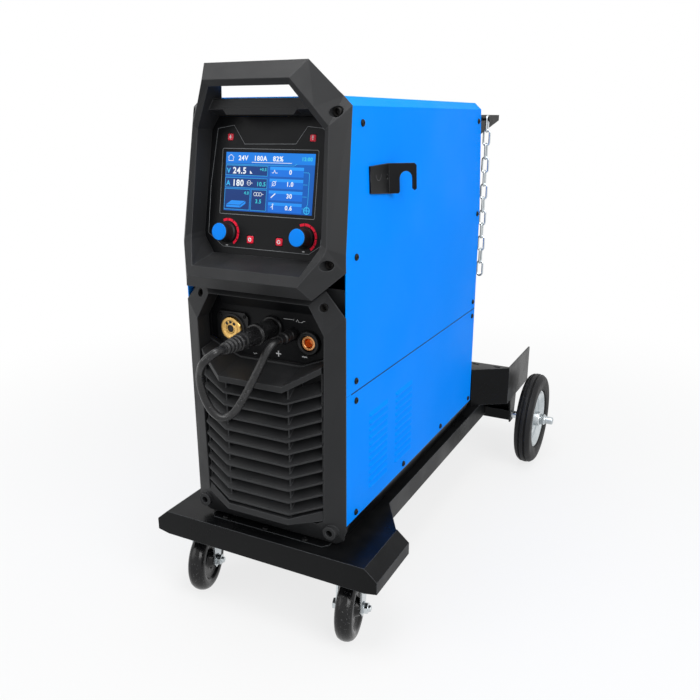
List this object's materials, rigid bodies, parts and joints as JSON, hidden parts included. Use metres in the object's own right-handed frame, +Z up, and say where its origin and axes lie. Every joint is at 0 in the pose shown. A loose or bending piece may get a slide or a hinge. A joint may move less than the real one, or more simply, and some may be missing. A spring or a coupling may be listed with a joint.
{
  "type": "mig welder on cart",
  "caption": "Portable wire-feed welding machine with a leaning colour control panel, standing on a low four-wheel cart with a gas bottle tray and chain.",
  "frame": {"origin": "centre of the footprint on the floor, without the jumper lead and its plug", "axes": "+Z up, -Y is the front with the control panel, +X is the machine's own left-hand side seen by someone standing behind it, the right-hand side as seen from the front"},
  "size_m": [0.5148, 0.94, 0.7918],
  "materials": {
    "blue_paint": "bright blue powder coat, satin",
    "black_powder_coat": "black powder coat, semi-gloss",
    "bracket_powder_coat": "black powder coat, satin",
    "black_plastic": "moulded black plastic with a fine texture",
    "panel_foil": "smooth dark panel foil",
    "connector_plastic": "black nylon",
    "black_rubber": "black rubber, satin",
    "tyre_rubber": "solid black rubber tyre",
    "caster_rubber": "hard black rubber, polished",
    "zinc_plate": "bright zinc plating",
    "bare_steel": "ground steel",
    "brass": "turned brass",
    "aluminium": "mill finish",
    "red_lens": "red printed legend on a small square key or lens",
    "display_glass": "colour display behind a clear window",
    "spool_plastic": "dark moulded spool"
  },
  "bodies": {
    "machine_and_cart": {"cart_deck": "black_powder_coat", "bottle_tray": "black_powder_coat", "axle_bracket": "black_powder_coat", "rear_axle": "zinc_plate", "axle_nut_left": "zinc_plate", "axle_nut_right": "zinc_plate", "caster_plate_left": "zinc_plate", "caster_plate_right": "zinc_plate", "base_chassis": "black_powder_coat", "case_cover": "blue_paint", "lower_panel_left": "blue_paint", "lower_panel_right": "blue_paint", "rear_panel": "black_powder_coat", "gas_inlet": "brass", "mains_gland": "black_plastic", "inner_frame": "aluminium", "upper_bezel": "black_plastic", "lower_bezel": "black_plastic", "front_grille": "black_plastic", "connector_panel": "panel_foil", "control_panel": "panel_foil", "display_screen": "display_glass", "indicator_lens_left": "red_lens", "indicator_lens_right": "red_lens", "euro_flange": "connector_plastic", "euro_socket": "brass", "plus_socket": "connector_plastic", "minus_socket": "connector_plastic", "minus_insert": "brass", "jumper_plug": "black_rubber", "lead_gland": "connector_plastic", "jumper_lead": "black_rubber", "torch_hook": "bracket_powder_coat", "bottle_cradle": "bracket_powder_coat", "spool_hub": "spool_plastic", "wire_feeder": "aluminium", "heat_sink": "aluminium"},
    "caster_swivel_left": {"caster_fork_left": "zinc_plate", "caster_bolt_left": "zinc_plate"},
    "caster_swivel_right": {"caster_fork_right": "zinc_plate", "caster_bolt_right": "zinc_plate"},
    "caster_roller_left": {"caster_wheel_left": "caster_rubber"},
    "caster_roller_right": {"caster_wheel_right": "caster_rubber"},
    "rear_wheel_left": {"rear_tyre_left": "tyre_rubber", "rear_rim_left": "zinc_plate"},
    "rear_wheel_right": {"rear_tyre_right": "tyre_rubber", "rear_rim_right": "zinc_plate"},
    "knob_left": {"control_knob_left": "blue_paint"},
    "knob_right": {"control_knob_right": "blue_paint"},
    "button_left": {"push_button_left": "red_lens"},
    "button_right": {"push_button_right": "red_lens"},
    "door": {"side_door": "blue_paint"},
    "latch": {"door_latch": "black_plastic"},
    "spool": {"wire_spool": "spool_plastic"},
    "feed_roll": {"drive_roll": "bare_steel"},
    "feeder_arm": {"pressure_arm": "black_plastic"},
    "arm_roller": {"pressure_roller": "bare_steel"},
    "fan": {"cooling_fan": "black_plastic"},
    "power_switch": {"mains_switch": "black_plastic"},
    "chain": {"bottle_chain": "zinc_plate"}
  },
  "joints": [
    {"name": "caster_swivel_left", "type": "hinge", "parent": "machine_and_cart", "child": "caster_swivel_left", "pos_m": [-0.146, -0.3379, 0.13], "axis": [0, 0, 1], "continuous": true},
    {"name": "caster_swivel_right", "type": "hinge", "parent": "machine_and_cart", "child": "caster_swivel_right", "pos_m": [0.118, -0.3419, 0.13], "axis": [0, 0, 1], "continuous": true},
    {"name": "caster_roll_left", "type": "hinge", "parent": "caster_swivel_left", "child": "caster_roller_left", "pos_m": [-0.13824, -0.36688, 0.05], "axis": [0.9659, 0.2588, 0], "continuous": true},
    {"name": "caster_roll_right", "type": "hinge", "parent": "caster_swivel_right", "child": "caster_roller_right", "pos_m": [0.12424, -0.37124, 0.05], "axis": [0.9781, 0.2079, 0], "continuous": true},
    {"name": "rear_wheel_left_spin", "type": "hinge", "parent": "machine_and_cart", "child": "rear_wheel_left", "pos_m": [-0.2124, 0.3375, 0.0975], "axis": [1, 0, 0], "continuous": true},
    {"name": "rear_wheel_right_spin", "type": "hinge", "parent": "machine_and_cart", "child": "rear_wheel_right", "pos_m": [0.2124, 0.3375, 0.0975], "axis": [1, 0, 0], "continuous": true},
    {"name": "knob_left_turn", "type": "hinge", "parent": "machine_and_cart", "child": "knob_left", "pos_m": [-0.0595, -0.37399, 0.5795], "axis": [0, 0.9851, -0.1722], "continuous": true},
    {"name": "knob_right_turn", "type": "hinge", "parent": "machine_and_cart", "child": "knob_right", "pos_m": [0.0595, -0.37399, 0.5795], "axis": [0, 0.9851, -0.1722], "continuous": true},
    {"name": "button_left_press", "type": "slide", "parent": "machine_and_cart", "child": "button_left", "axis": [0, 0.9851, -0.1722], "range_m": [0, 0.0008], "stiffness_N_per_m": 400},
    {"name": "button_right_press", "type": "slide", "parent": "machine_and_cart", "child": "button_right", "axis": [0, 0.9851, -0.1722], "range_m": [0, 0.0008], "stiffness_N_per_m": 400},
    {"name": "door_swing", "type": "hinge", "parent": "machine_and_cart", "child": "door", "pos_m": [-0.11349, -0.1069, 0.693], "axis": [0, 1, 0], "range_deg": [0, 85]},
    {"name": "latch_turn", "type": "hinge", "parent": "door", "child": "latch", "pos_m": [-0.125, -0.1069, 0.424], "axis": [-1, 0, 0], "range_deg": [0, 90]},
    {"name": "spool_spin", "type": "hinge", "parent": "machine_and_cart", "child": "spool", "pos_m": [-0.0385, -0.0419, 0.56], "axis": [1, 0, 0], "continuous": true},
    {"name": "feed_roll_spin", "type": "hinge", "parent": "machine_and_cart", "child": "feed_roll", "pos_m": [-0.064, -0.2619, 0.4259], "axis": [1, 0, 0], "continuous": true},
    {"name": "feeder_arm_lift", "type": "hinge", "parent": "machine_and_cart", "child": "feeder_arm", "pos_m": [-0.064, -0.2939, 0.45], "axis": [1, 0, 0], "range_deg": [0, 60]},
    {"name": "arm_roller_spin", "type": "hinge", "parent": "feeder_arm", "child": "arm_roller", "pos_m": [-0.064, -0.2619, 0.4606], "axis": [1, 0, 0], "continuous": true},
    {"name": "fan_spin", "type": "hinge", "parent": "machine_and_cart", "child": "fan", "pos_m": [0, 0.1436, 0.3], "axis": [0, 1, 0], "continuous": true},
    {"name": "power_switch_turn", "type": "hinge", "parent": "machine_and_cart", "child": "power_switch", "pos_m": [0.06, 0.1536, 0.62], "axis": [0, 1, 0], "range_deg": [0, 90]},
    {"name": "chain_swing", "type": "hinge", "parent": "machine_and_cart", "child": "chain", "pos_m": [0.1255, 0.1731, 0.724], "axis": [1, 0, 0], "range_deg": [0, 60]}
  ],
  "couplings": [
    {"joint": "arm_roller_spin", "follows": "feed_roll_spin", "ratio": -1.0938}
  ]
}
